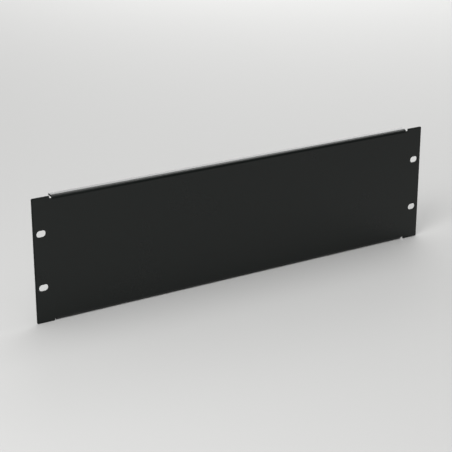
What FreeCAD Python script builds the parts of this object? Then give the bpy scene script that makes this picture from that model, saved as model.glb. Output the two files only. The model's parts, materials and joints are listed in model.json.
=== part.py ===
import FreeCAD, Part
import math
import os
import Sketcher

# A blank front panel that closes three units of a 19 inch rack. It is folded from one
# piece of steel sheet: a flat face with an ear at each end, and a flange turned to the
# rear along its top and bottom edges, between the ears.
# X runs to the right, Y to the rear and Z up. The origin is the middle of the four
# fixing slots, in the plane of the rear faces of the ears, which lie on the rack's rails.
# The panel is alike left and right, and top and bottom, so its upper right quarter is
# modelled, and then mirrored twice.

doc = FreeCAD.newDocument("rack_blanking_panel")

# Driving sizes, in millimetres
driving_sizes = {
    # across both ears, the width of a 19 inch front
    "panel_width": 482.6,
    # three rack units of 44.45, less the gap that keeps stacked panels apart
    "panel_height": 132.5,
    "sheet_thickness": 2.0,
    # from the front face to the flange's rear edge
    "flange_depth": 9.0,
    "bend_inner_radius": 2.0,
    # from the panel's end to the relief notch
    "ear_width": 19.0,
    # clear width of the notch between the ear and the end of a bend
    "relief_width": 2.8,
    # from the ear's top edge down to the notch's floor
    "relief_depth": 2.4,
    # from the panel's end to a slot's centre, which puts the slots 465.1 apart
    "slot_inset": 8.75,
    # from the lower slot's centre to the upper one's
    "slot_spacing_up": 57.15,
    # fixing slots, end to end and across
    "slot_length": 10.3,
    "slot_width": 7.1,
    # outer corners of the ears, seen from the front
    "ear_corner_radius": 1.4,
    # rounding that the shearing and the coating leave on the front edges of the ears
    "edge_radius": 1.0,
    # the same on the front rims of the slots
    "slot_rim_radius": 0.3,
}

sizes = doc.addObject("Spreadsheet::Sheet", "sizes")
for row, (alias, value) in enumerate(driving_sizes.items(), start=1):
    sizes.set(f"A{row}", alias)
    sizes.set(f"B{row}", str(value))
    sizes.setAlias(f"B{row}", alias)
doc.recompute()

half_width = "sizes.panel_width / 2"
half_height = "sizes.panel_height / 2"
bend_outer_radius = "sizes.bend_inner_radius + sizes.sheet_thickness"
# where the flat face ends and the bend begins
bend_line = f"{half_height} - ({bend_outer_radius})"
notch_floor = f"{half_height} - sizes.relief_depth"
flange_edge = "sizes.flange_depth - sizes.sheet_thickness"
ear_inner_edge = f"{half_width} - sizes.ear_width"
fold_end = f"{ear_inner_edge} - sizes.relief_width"
slot_centre_across = f"{half_width} - sizes.slot_inset"
slot_centre_up = "sizes.slot_spacing_up / 2"
slot_end_radius = "sizes.slot_width / 2"
slot_arc_spacing = "sizes.slot_length - sizes.slot_width"

# How far a size may be out, and how near two places count as one, in millimetres
size_allowance = 0.01
same_place = 1e-4
# How far the slot's volume may be out, as a share of it
volume_allowance = 0.01

# The points of a line or an arc that a constraint can name
START = 1
END = 2
CENTRE = 3
# The sketch's own axes and origin, as constraints name them
HORIZONTAL_AXIS = -1
SKETCH_ORIGIN = (-1, 1)


def value_of(expression):
    """The number that an expression on the sheet gives now."""
    return float(sizes.evalExpression(expression.replace("sizes.", "")))


def point(across, up):
    """A point in a sketch's own plane."""
    return FreeCAD.Vector(across, up, 0)


def sketch_on(body, role, name):
    """An empty sketch on one of the body's origin planes."""
    plane = next(feature for feature in body.Origin.OriginFeatures if feature.Role == role)
    sketch = body.newObject("Sketcher::SketchObject", name)
    sketch.AttachmentSupport = [(plane, "")]
    sketch.MapMode = "FlatFace"
    return sketch


def draw_line(sketch, start, end):
    return sketch.addGeometry(Part.LineSegment(start, end), False)


def draw_arc(sketch, centre, radius, start_angle, end_angle):
    circle = Part.Circle(centre, FreeCAD.Vector(0, 0, 1), radius)
    return sketch.addGeometry(Part.ArcOfCircle(circle, start_angle, end_angle), False)


def constrain(sketch, kind, *references):
    sketch.addConstraint(Sketcher.Constraint(kind, *references))


def dimension(sketch, name, expression, kind, *references):
    """A named size in a sketch, bound to the sheet."""
    number = sketch.addConstraint(Sketcher.Constraint(kind, *references, value_of(expression)))
    sketch.renameConstraint(number, name)
    sketch.setExpression(f"Constraints.{name}", expression)


def edges_where(shape, test):
    """The names of the edges whose middle point passes the test."""
    names = []
    for number, edge in enumerate(shape.Edges, start=1):
        middle = edge.valueAt((edge.FirstParameter + edge.LastParameter) / 2)
        if test(edge, middle):
            names.append(f"Edge{number}")
    return names


def round_edges(body, name, radius, test):
    """A fillet on the edges of the body that pass the test."""
    base = body.Tip
    fillet = body.newObject("PartDesign::Fillet", name)
    fillet.Base = (base, edges_where(base.Shape, test))
    fillet.setExpression("Radius", radius)
    doc.recompute()


def mirror_whole(body, name, role):
    """The body joined to its own mirror image across an origin plane."""
    plane = next(feature for feature in body.Origin.OriginFeatures if feature.Role == role)
    mirrored = body.newObject("PartDesign::Mirrored", name)
    mirrored.TransformMode = "Whole shape"
    mirrored.MirrorPlane = (plane, [""])
    body.Tip = mirrored
    doc.recompute()


def draw_fold_section(sketch):
    """Upper half of the folded section: the face, the bend and the flange.

    Across the sketch is the panel's Y, and up is its Z.
    """
    sheet = sizes.sheet_thickness
    top = value_of(half_height)
    tip = value_of(flange_edge)
    bend_centre = point(sizes.bend_inner_radius, value_of(bend_line))
    outer = value_of(bend_outer_radius)
    inner = sizes.bend_inner_radius
    quarter = math.pi / 2
    front = draw_line(sketch, point(-sheet, 0), point(-sheet, bend_centre.y))
    outer_bend = draw_arc(sketch, bend_centre, outer, quarter, math.pi)
    flange_top = draw_line(sketch, point(bend_centre.x, top), point(tip, top))
    flange_tip = draw_line(sketch, point(tip, top), point(tip, top - sheet))
    flange_under = draw_line(sketch, point(tip, top - sheet), point(bend_centre.x, top - sheet))
    inner_bend = draw_arc(sketch, bend_centre, inner, quarter, math.pi)
    rear = draw_line(sketch, point(0, bend_centre.y), point(0, 0))
    middle = draw_line(sketch, point(0, 0), point(-sheet, 0))
    constrain(sketch, "Tangent", front, END, outer_bend, END)
    constrain(sketch, "Tangent", outer_bend, START, flange_top, START)
    constrain(sketch, "Coincident", flange_top, END, flange_tip, START)
    constrain(sketch, "Coincident", flange_tip, END, flange_under, START)
    constrain(sketch, "Tangent", flange_under, END, inner_bend, START)
    constrain(sketch, "Tangent", inner_bend, END, rear, START)
    constrain(sketch, "Coincident", rear, END, middle, START)
    constrain(sketch, "Coincident", middle, END, front, START)
    constrain(sketch, "Coincident", outer_bend, CENTRE, inner_bend, CENTRE)
    constrain(sketch, "Coincident", rear, END, *SKETCH_ORIGIN)
    for upright in (front, flange_tip, rear):
        constrain(sketch, "Vertical", upright)
    for level in (flange_top, flange_under, middle):
        constrain(sketch, "Horizontal", level)
    dimension(sketch, "sheet", "sizes.sheet_thickness", "DistanceX", front, START, rear, END)
    dimension(sketch, "inner_radius", "sizes.bend_inner_radius", "Radius", inner_bend)
    dimension(sketch, "half_height", half_height, "DistanceY", *SKETCH_ORIGIN, flange_top, END)
    dimension(sketch, "flange_edge", flange_edge, "DistanceX", *SKETCH_ORIGIN, flange_top, END)


def draw_ear_outline(sketch):
    """Upper half of the right ear, with the neck that joins it to the end of the fold.

    Across the sketch is the panel's X, and up is its Z. The step in the outline leaves
    the relief notch, whose floor lies a little above the line where the bend begins.
    """
    neck_start = value_of(fold_end)
    notch_side = value_of(ear_inner_edge)
    outer_edge = value_of(half_width)
    top = value_of(half_height)
    notch_base_up = value_of(notch_floor)
    corners = [
        point(neck_start, 0),
        point(outer_edge, 0),
        point(outer_edge, top),
        point(notch_side, top),
        point(notch_side, notch_base_up),
        point(neck_start, notch_base_up),
    ]
    sides = [draw_line(sketch, start, end) for start, end in zip(corners, corners[1:] + corners[:1])]
    middle, outer, ear_top, notch_wall, notch_base, joint = sides
    for side, following in zip(sides, sides[1:] + sides[:1]):
        constrain(sketch, "Coincident", side, END, following, START)
    for level in (ear_top, notch_base):
        constrain(sketch, "Horizontal", level)
    for upright in (outer, notch_wall, joint):
        constrain(sketch, "Vertical", upright)
    constrain(sketch, "PointOnObject", middle, START, HORIZONTAL_AXIS)
    constrain(sketch, "PointOnObject", middle, END, HORIZONTAL_AXIS)
    dimension(sketch, "fold_end", fold_end, "DistanceX", *SKETCH_ORIGIN, middle, START)
    dimension(sketch, "half_width", half_width, "DistanceX", *SKETCH_ORIGIN, middle, END)
    dimension(sketch, "half_height", half_height, "DistanceY", *SKETCH_ORIGIN, ear_top, END)
    dimension(sketch, "relief", "sizes.relief_width", "DistanceX", notch_base, END, notch_base, START)
    dimension(sketch, "notch_depth", "sizes.relief_depth", "DistanceY", notch_wall, END, notch_wall, START)


def draw_slot_outline(sketch):
    """A fixing slot with round ends, which lets the screw sit a little to either side."""
    centre_across = value_of(slot_centre_across)
    centre_up = value_of(slot_centre_up)
    radius = value_of(slot_end_radius)
    reach = value_of(slot_arc_spacing) / 2
    quarter = math.pi / 2
    left_centre = point(centre_across - reach, centre_up)
    right_centre = point(centre_across + reach, centre_up)
    rise = point(0, radius)
    upper = draw_line(sketch, left_centre + rise, right_centre + rise)
    right_end = draw_arc(sketch, right_centre, radius, -quarter, quarter)
    lower = draw_line(sketch, right_centre - rise, left_centre - rise)
    left_end = draw_arc(sketch, left_centre, radius, quarter, 3 * quarter)
    middle = sketch.addGeometry(Part.Point(point(centre_across, centre_up)), True)
    constrain(sketch, "Tangent", upper, END, right_end, END)
    constrain(sketch, "Tangent", right_end, START, lower, START)
    constrain(sketch, "Tangent", lower, END, left_end, END)
    constrain(sketch, "Tangent", left_end, START, upper, START)
    constrain(sketch, "Horizontal", upper)
    constrain(sketch, "Equal", left_end, right_end)
    constrain(sketch, "Symmetric", left_end, CENTRE, right_end, CENTRE, middle, START)
    dimension(sketch, "end_radius", slot_end_radius, "Radius", left_end)
    dimension(sketch, "arc_spacing", slot_arc_spacing, "DistanceX", left_end, CENTRE, right_end, CENTRE)
    dimension(sketch, "across", slot_centre_across, "DistanceX", *SKETCH_ORIGIN, middle, START)
    dimension(sketch, "up", slot_centre_up, "DistanceY", *SKETCH_ORIGIN, middle, START)


def make_panel():
    """The whole folded sheet."""
    body = doc.addObject("PartDesign::Body", "blanking_panel")
    body.Label = "blanking_panel"

    # The face with its flange, from the panel's middle to the end of the fold
    section = sketch_on(body, "YZ_Plane", "fold_section")
    draw_fold_section(section)
    folded = body.newObject("PartDesign::Pad", "folded_face")
    folded.Profile = section
    folded.setExpression("Length", fold_end)
    doc.recompute()

    # The ear carries on from the face in one plane, past the relief notch
    outline = sketch_on(body, "XZ_Plane", "ear_outline")
    draw_ear_outline(outline)
    ear = body.newObject("PartDesign::Pad", "ear")
    ear.Profile = outline
    ear.setExpression("Length", "sizes.sheet_thickness")
    doc.recompute()

    # The sketch lies on the rear face, so the cut goes towards the front
    volume_before = body.Shape.Volume
    slot_outline = sketch_on(body, "XZ_Plane", "slot_outline")
    draw_slot_outline(slot_outline)
    slot = body.newObject("PartDesign::Pocket", "slot")
    slot.Profile = slot_outline
    slot.Reversed = True
    slot.Type = "ThroughAll"
    doc.recompute()
    slot_area = math.pi * value_of(slot_end_radius) ** 2 + value_of(slot_arc_spacing) * sizes.slot_width
    slot_volume = slot_area * sizes.sheet_thickness
    removed = volume_before - body.Shape.Volume
    if abs(removed - slot_volume) > volume_allowance * slot_volume:
        raise RuntimeError(f"the slot removed {removed:.2f} of {slot_volume:.2f} cubic millimetres")

    # The edges are found by where they lie on the quarter
    outer_edge = value_of(half_width)
    top = value_of(half_height)
    notch_side = value_of(ear_inner_edge)
    front = -sizes.sheet_thickness
    slot_place = FreeCAD.Vector(value_of(slot_centre_across), front, value_of(slot_centre_up))

    def at_ear_corner(edge, middle):
        return abs(middle.x - outer_edge) < same_place and abs(middle.z - top) < same_place

    def on_slot_rim(edge, middle):
        return abs(middle.y - front) < same_place and (middle - slot_place).Length < sizes.slot_length

    def on_ear_front(edge, middle):
        inset = sizes.ear_corner_radius
        past_notch = middle.x > notch_side + same_place
        near_outline = middle.x > outer_edge - inset or middle.z > top - inset
        above_middle = middle.z > same_place
        return abs(middle.y - front) < same_place and past_notch and near_outline and above_middle

    round_edges(body, "ear_corner", "sizes.ear_corner_radius", at_ear_corner)
    round_edges(body, "ear_front_edge", "sizes.edge_radius", on_ear_front)
    round_edges(body, "slot_rim", "sizes.slot_rim_radius", on_slot_rim)

    mirror_whole(body, "lower_half", "XY_Plane")
    mirror_whole(body, "left_half", "YZ_Plane")
    body.Placement = FreeCAD.Placement()
    doc.recompute()
    return body


panel = make_panel()

for item in doc.Objects:
    faults = [word for word in item.State if word in ("Invalid", "Error")]
    if faults:
        raise RuntimeError(f"{item.Name} is {faults}")
for item in doc.findObjects("Sketcher::SketchObject"):
    if not item.FullyConstrained:
        raise RuntimeError(f"{item.Name} is not fully constrained")

shape = panel.Shape
if shape.isNull() or not shape.isValid() or len(shape.Solids) != 1:
    raise RuntimeError("the panel is not one valid solid")
box = shape.optimalBoundingBox(False, False)
expected = (sizes.panel_width, sizes.flange_depth, sizes.panel_height)
for measured, wanted in zip((box.XLength, box.YLength, box.ZLength), expected):
    if abs(measured - wanted) > size_allowance:
        raise RuntimeError(f"the panel measures {measured:.3f} where {wanted:.3f} was wanted")

os.makedirs("parts", exist_ok=True)
shape.exportStep(f"parts/{panel.Label}.step")
print(f"{panel.Label}: {shape.Volume:.1f} cubic millimetres, {len(shape.Faces)} faces")
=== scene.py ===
import json
import math

import bmesh
import bpy
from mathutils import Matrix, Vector


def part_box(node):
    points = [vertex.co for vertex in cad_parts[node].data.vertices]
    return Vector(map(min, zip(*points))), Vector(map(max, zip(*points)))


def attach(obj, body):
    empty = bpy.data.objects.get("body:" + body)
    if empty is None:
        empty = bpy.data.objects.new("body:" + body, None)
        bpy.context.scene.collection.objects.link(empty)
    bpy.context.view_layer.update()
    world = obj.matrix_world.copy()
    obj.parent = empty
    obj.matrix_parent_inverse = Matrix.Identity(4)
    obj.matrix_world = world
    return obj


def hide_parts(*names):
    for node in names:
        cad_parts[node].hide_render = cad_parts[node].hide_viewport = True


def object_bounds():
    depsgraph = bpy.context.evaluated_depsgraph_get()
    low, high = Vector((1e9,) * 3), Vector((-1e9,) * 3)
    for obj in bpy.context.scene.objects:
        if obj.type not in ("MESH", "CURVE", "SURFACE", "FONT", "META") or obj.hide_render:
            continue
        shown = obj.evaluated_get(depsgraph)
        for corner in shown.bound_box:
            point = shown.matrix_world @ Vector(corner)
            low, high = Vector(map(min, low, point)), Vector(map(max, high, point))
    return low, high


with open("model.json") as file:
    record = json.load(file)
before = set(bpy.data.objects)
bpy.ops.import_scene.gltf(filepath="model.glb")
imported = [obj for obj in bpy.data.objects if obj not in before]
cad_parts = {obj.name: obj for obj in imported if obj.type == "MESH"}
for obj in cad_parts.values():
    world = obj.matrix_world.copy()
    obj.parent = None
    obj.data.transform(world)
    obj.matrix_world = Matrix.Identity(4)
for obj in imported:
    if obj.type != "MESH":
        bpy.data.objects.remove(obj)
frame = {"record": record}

cad_lowest, cad_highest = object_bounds()


# The camera
# It stands to the left of the panel, in front of it and above it, and looks down along
# the face, so that the top flange shows behind the top edge.
camera_azimuth = math.radians(-31.60)
camera_elevation = math.radians(20.26)
camera_distance = 1.46202
sensor_width = 36
focal_length = 109.48
nearest_seen = 0.05
farthest_seen = 50
aim_above_base = 0.06243
aim_across = -0.02028
base = cad_lowest.z

aim = Vector((aim_across, cad_lowest.y, base + aim_above_base))
away = Vector((
    math.sin(camera_azimuth) * math.cos(camera_elevation),
    -math.cos(camera_azimuth) * math.cos(camera_elevation),
    math.sin(camera_elevation),
))
lens = bpy.data.cameras.new("camera")
lens.sensor_width = sensor_width
lens.lens = focal_length
lens.clip_start = nearest_seen
lens.clip_end = farthest_seen
camera = bpy.data.objects.new("camera", lens)
camera.location = aim + camera_distance * away
camera.rotation_euler = (-away).to_track_quat("-Z", "Y").to_euler()
bpy.context.scene.collection.objects.link(camera)
bpy.context.scene.camera = camera


# The panel
# One blank of steel sheet, sheared to its outline with the relief notches and slots
# punched out, then folded to the rear along its top and bottom edges. Its upper right
# quarter is shaped first, as the sheet's rear skin, and then mirrored and thickened.
panel_lowest, panel_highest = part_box("blanking_panel")
half_width = panel_highest.x
half_height = panel_highest.z
sheet = -panel_lowest.y
flange_edge = panel_highest.y
bend_inner_radius = 0.002
bend_line = half_height - sheet - bend_inner_radius
bend_steps = 16
neck_steps = 5
ear_width = 0.019
relief_width = 0.0028
relief_depth = 0.0024
notch_floor = half_height - relief_depth
ear_inner_edge = half_width - ear_width
fold_end = ear_inner_edge - relief_width
ear_corner_radius = 0.0014
ear_corner_steps = 6
edge_radius = 0.001
edge_steps = 5
slot_rim_radius = 0.0003
slot_rim_steps = 3
fold_edge_radius = 0.0002
fold_edge_steps = 2
sharp_from = math.radians(50)

fixing_slots = next(m for m in frame["record"]["mounts"] if m["name"] == "fixing_slots")
millimetre = 0.001
slot_across = fixing_slots["dims"]["spacing_x_mm"] * millimetre / 2
slot_up = fixing_slots["dims"]["spacing_y_mm"] * millimetre / 2
slot_radius = fixing_slots["dims"]["hole_r_mm"] * millimetre
slot_reach = fixing_slots["dims"]["slot_length_mm"] * millimetre / 2 - slot_radius
slot_margin = 0.002
sides_per_slot = 48
quarter_turn = math.pi / 2
near = 1e-6


def select_where(kind, test):
    """Selects the edit mesh's vertices, edges or faces whose middle passes the test."""
    bpy.ops.mesh.select_mode(type=kind)
    bpy.ops.mesh.select_all(action="DESELECT")
    mesh = bmesh.from_edit_mesh(bpy.context.object.data)
    middles = {
        "VERT": lambda: [(v, v.co) for v in mesh.verts],
        "EDGE": lambda: [(e, (e.verts[0].co + e.verts[1].co) / 2) for e in mesh.edges],
        "FACE": lambda: [(f, f.calc_center_median()) for f in mesh.faces],
    }
    for item, middle in middles[kind]():
        if test(middle):
            item.select_set(True)
    mesh.select_flush_mode()
    bmesh.update_edit_mesh(bpy.context.object.data)


bpy.ops.object.select_all(action="DESELECT")
bpy.ops.mesh.primitive_plane_add(
    size=1,
    location=(half_width / 2, 0, half_height / 2),
    rotation=(quarter_turn, 0, 0),
)
panel = bpy.context.object
panel.name = "folded_sheet"
panel.data.name = "folded_sheet"
panel.scale = (half_width, half_height, 1)
bpy.ops.object.transform_apply(location=True, rotation=True, scale=True)
bpy.ops.object.mode_set(mode="EDIT")

patch_left = slot_across - slot_reach - slot_radius - slot_margin
patch_right = slot_across + slot_reach + slot_radius + slot_margin
patch_low = slot_up - slot_radius - slot_margin
patch_high = slot_up + slot_radius + slot_margin
for up in (patch_low, patch_high, bend_line):
    bpy.ops.mesh.select_all(action="SELECT")
    bpy.ops.mesh.bisect(plane_co=(0, 0, up), plane_no=(0, 0, 1))
for across in (patch_left, patch_right):
    bpy.ops.mesh.select_all(action="SELECT")
    bpy.ops.mesh.bisect(plane_co=(across, 0, 0), plane_no=(1, 0, 0))
for across in (fold_end, ear_inner_edge):
    select_where("FACE", lambda c: c.z > bend_line)
    bpy.ops.mesh.bisect(plane_co=(across, 0, 0), plane_no=(1, 0, 0))

# The relief notch is cut out, with the strip that the fold takes the place of
select_where("FACE", lambda c: c.x < ear_inner_edge and c.z > bend_line)
bpy.ops.mesh.delete(type="FACE")
select_where("FACE", lambda c: c.x > ear_inner_edge and c.z > bend_line)
bpy.ops.mesh.bisect(plane_co=(0, 0, notch_floor), plane_no=(0, 0, 1))
select_where("EDGE", lambda c: c.x < ear_inner_edge + near and bend_line + near < c.z < notch_floor)
bpy.ops.mesh.subdivide(number_cuts=neck_steps - 1)

# The ear's outer corner is rounded
select_where("VERT", lambda c: c.x > half_width - near and c.z > half_height - near)
bpy.ops.mesh.bevel(offset=ear_corner_radius, segments=ear_corner_steps, affect="VERTICES")

# The slot
select_where("FACE", lambda c: patch_left < c.x < patch_right and patch_low < c.z < patch_high)
bpy.ops.mesh.delete(type="ONLY_FACE")
select_where("EDGE", lambda c: patch_left - near < c.x < patch_right + near
             and patch_low - near < c.z < patch_high + near)
bpy.ops.mesh.subdivide(number_cuts=sides_per_slot // 4 - 1)
bpy.ops.mesh.select_all(action="DESELECT")
half_side = math.pi / sides_per_slot
bpy.ops.mesh.primitive_circle_add(
    vertices=sides_per_slot,
    radius=slot_radius,
    location=(slot_across, 0, slot_up),
    rotation=(quarter_turn, half_side, 0),
)
for side in (-1, 1):
    select_where("VERT", lambda c: (c.x - slot_across) * side > 0
                 and math.hypot(c.x - slot_across, c.z - slot_up) < slot_radius + near)
    bpy.ops.transform.translate(value=(side * slot_reach, 0, 0))
select_where("EDGE", lambda c: patch_left - near < c.x < patch_right + near
             and patch_low - near < c.z < patch_high + near)
bpy.ops.mesh.bridge_edge_loops()

# The fold: the bend is spun about its centre line, and the flange drawn out of it
bend_centre = (0, bend_inner_radius, bend_line)
select_where("EDGE", lambda c: c.x < fold_end and c.z > bend_line - near)
bpy.ops.mesh.spin(steps=bend_steps, angle=quarter_turn, center=bend_centre, axis=(1, 0, 0))
bpy.ops.mesh.extrude_edges_move(
    TRANSFORM_OT_translate={"value": (0, flange_edge - bend_inner_radius, 0)})

# The neck under the notch turns from the start of the bend into the flat ear
neck_top = bend_line + bend_inner_radius * math.sin(quarter_turn * neck_steps / bend_steps)


def beside_the_neck(c):
    on_the_bend = abs(c.x - fold_end) < near and c.z < neck_top and c.y < bend_inner_radius
    on_the_ear = abs(c.x - ear_inner_edge) < near and c.z < notch_floor
    return c.z > bend_line and (on_the_bend or on_the_ear)


select_where("EDGE", beside_the_neck)
bpy.ops.mesh.bridge_edge_loops()
bpy.ops.object.mode_set(mode="OBJECT")


def finish_with(kind, **settings):
    """Adds a modifier to the panel with the settings, and applies it."""
    modifier = panel.modifiers.new(kind.lower(), kind)
    for name, value in settings.items():
        setattr(modifier, name, value)
    bpy.ops.object.modifier_apply(modifier=modifier.name)


finish_with("MIRROR", use_axis=(True, False, True), merge_threshold=near)
bpy.ops.object.mode_set(mode="EDIT")
bpy.ops.mesh.select_all(action="SELECT")
bpy.ops.mesh.normals_make_consistent(inside=False)
bpy.ops.object.mode_set(mode="OBJECT")

# The two faces of the sheet take one finish, and its sheared and punched edges a duller one
face_coat = bpy.data.materials.new("satin_black_powder_coat")
edge_coat = bpy.data.materials.new("dull_black_edge_coat")
for coat in (face_coat, edge_coat):
    coat.use_nodes = True
    panel.data.materials.append(coat)
edge_finish = 1
same_finish = -1
finish_with("SOLIDIFY", thickness=sheet, offset=1, use_even_offset=True,
            use_quality_normals=True, material_offset_rim=edge_finish)


def round_edges(radius, steps, finish, test):
    """Rounds the panel's sharp outer edges whose middle passes the test, in that finish."""
    bpy.ops.object.mode_set(mode="EDIT")
    bpy.ops.mesh.select_mode(type="EDGE")
    bpy.ops.mesh.select_all(action="DESELECT")
    mesh = bmesh.from_edit_mesh(panel.data)
    for edge in mesh.edges:
        middle = (edge.verts[0].co + edge.verts[1].co) / 2
        if edge.is_convex and edge.calc_face_angle() > sharp_from and test(middle):
            edge.select_set(True)
    bmesh.update_edit_mesh(panel.data)
    bpy.ops.mesh.bevel(offset=radius, segments=steps, affect="EDGES", material=finish)
    bpy.ops.object.mode_set(mode="OBJECT")


def in_a_slot(c):
    return (abs(abs(c.x) - slot_across) < slot_reach + slot_radius + near
            and abs(abs(c.z) - slot_up) < slot_radius + near)


def on_slot_rim(c):
    return c.y < -sheet / 2 and in_a_slot(c)


def on_ear_outline(c):
    return c.y < -sheet / 2 and not in_a_slot(c) and abs(c.x) > ear_inner_edge + near


round_edges(slot_rim_radius, slot_rim_steps, edge_finish, on_slot_rim)
round_edges(edge_radius, edge_steps, edge_finish, on_ear_outline)
round_edges(fold_edge_radius, fold_edge_steps, same_finish, lambda c: True)

# What the rounding pushed out at the notch goes back into the plane of the face
bpy.ops.object.mode_set(mode="EDIT")
select_where("VERT", lambda c: c.y < -sheet)
bpy.ops.transform.resize(value=(1, 0, 1), center_override=(0, -sheet, 0))
bpy.ops.object.mode_set(mode="OBJECT")
bpy.ops.object.shade_smooth_by_angle(angle=sharp_from)
finish_with("WEIGHTED_NORMAL", keep_sharp=True)
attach(panel, "root")
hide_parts("blanking_panel")

# The powder coat is a satin black, baked on in one even layer. It has a fine orange
# peel, and its gloss drifts a little over the face. It is thin and dull on the edges.
coat_colour = (0.0045, 0.0061, 0.0053, 1)
coat_roughness = 0.28
coat_gloss_level = 0.31
edge_roughness = 0.85
edge_gloss_level = 0.25
gloss_drift = 0.03
drift_grain = 14
drift_detail = 3
peel_grain = 700
peel_detail = 2
peel_height = 0.0001
peel_strength = 0.6

edge_shader = edge_coat.node_tree.nodes["Principled BSDF"]
edge_shader.inputs["Base Color"].default_value = coat_colour
edge_shader.inputs["Roughness"].default_value = edge_roughness
edge_shader.inputs["Specular IOR Level"].default_value = edge_gloss_level

face_nodes = face_coat.node_tree.nodes
face_links = face_coat.node_tree.links
face_shader = face_nodes["Principled BSDF"]
face_shader.inputs["Base Color"].default_value = coat_colour
face_shader.inputs["Specular IOR Level"].default_value = coat_gloss_level
on_the_panel = face_nodes.new("ShaderNodeTexCoord")

drift = face_nodes.new("ShaderNodeTexNoise")
drift.inputs["Scale"].default_value = drift_grain
drift.inputs["Detail"].default_value = drift_detail
drift_range = face_nodes.new("ShaderNodeMapRange")
drift_range.inputs["To Min"].default_value = coat_roughness - gloss_drift
drift_range.inputs["To Max"].default_value = coat_roughness + gloss_drift
face_links.new(on_the_panel.outputs["Object"], drift.inputs["Vector"])
face_links.new(drift.outputs["Fac"], drift_range.inputs["Value"])
face_links.new(drift_range.outputs["Result"], face_shader.inputs["Roughness"])

peel = face_nodes.new("ShaderNodeTexNoise")
peel.inputs["Scale"].default_value = peel_grain
peel.inputs["Detail"].default_value = peel_detail
bump = face_nodes.new("ShaderNodeBump")
bump.inputs["Strength"].default_value = peel_strength
bump.inputs["Distance"].default_value = peel_height
face_links.new(on_the_panel.outputs["Object"], peel.inputs["Vector"])
face_links.new(peel.outputs["Fac"], bump.inputs["Height"])
face_links.new(bump.outputs["Normal"], face_shader.inputs["Normal"])


# The floor
# A plain pale table top, much larger than the view, that the panel stands on.
floor_side = 16
floor_colour = (0.48, 0.48, 0.475, 1)
floor_roughness = 0.9
floor_gloss_level = 0.1
bpy.ops.mesh.primitive_plane_add(size=floor_side, location=(0, 0, base))
floor = bpy.context.object
floor.name = "floor"
pale = bpy.data.materials.new("pale_floor")
pale.use_nodes = True
floor_shader = pale.node_tree.nodes["Principled BSDF"]
floor_shader.inputs["Base Color"].default_value = floor_colour
floor_shader.inputs["Roughness"].default_value = floor_roughness
floor_shader.inputs["Specular IOR Level"].default_value = floor_gloss_level
floor.data.materials.append(pale)


# The light
# The room is evenly pale, with a dark screen far off to the front and right, which draws
# the dark line on the rounded fold. One soft light hangs high to the right, one stands
# behind the panel and gives the fold its bright band, and one hangs before its left end.
def soft_light(name, place, aim, width, height, power):
    """Hangs a rectangular lamp of that size and power in its place, turned to its aim."""
    lamp = bpy.data.lights.new(name, "AREA")
    lamp.shape = "RECTANGLE"
    lamp.size = width
    lamp.size_y = height
    lamp.energy = power
    light = bpy.data.objects.new(name, lamp)
    light.location = place
    light.rotation_euler = (Vector(aim) - Vector(place)).to_track_quat("-Z", "Y").to_euler()
    bpy.context.scene.collection.objects.link(light)


soft_light("top_light", place=(1.65, 0.6, 2.6), aim=(1.65, 0.6, 0),
           width=1.3, height=2, power=37.4)
soft_light("back_light", place=(1.2, 1.9, 0.85), aim=(0, 0, 0),
           width=1.5, height=1.4, power=19.4)
soft_light("key_light", place=(-0.95, -0.6, 1.0), aim=(-0.3, -0.15, 0),
           width=0.7, height=0.7, power=14.1)

# Between the screen's edge and its core, the room's level falls smoothly to the screen's
room_level = 0.7
screen_level = 0.02
screen_direction = Vector((0.5, -0.83, 0.25)).normalized()
screen_core = math.radians(14)
screen_edge = math.radians(34)
room = bpy.data.worlds.new("studio")
room.use_nodes = True
room_nodes = room.node_tree.nodes
room_links = room.node_tree.links
room_shader = room_nodes["Background"]
room_shader.inputs["Color"].default_value = (1, 1, 1, 1)
room_place = room_nodes.new("ShaderNodeTexCoord")
towards_screen = room_nodes.new("ShaderNodeVectorMath")
towards_screen.operation = "DOT_PRODUCT"
towards_screen.inputs[1].default_value = screen_direction
level_range = room_nodes.new("ShaderNodeMapRange")
level_range.interpolation_type = "SMOOTHSTEP"
level_range.inputs["From Min"].default_value = math.cos(screen_edge)
level_range.inputs["From Max"].default_value = math.cos(screen_core)
level_range.inputs["To Min"].default_value = room_level
level_range.inputs["To Max"].default_value = screen_level
room_links.new(room_place.outputs["Generated"], towards_screen.inputs[0])
room_links.new(towards_screen.outputs["Value"], level_range.inputs["Value"])
room_links.new(level_range.outputs["Result"], room_shader.inputs["Strength"])
bpy.context.scene.world = room
bpy.context.scene.view_settings.view_transform = "Standard"
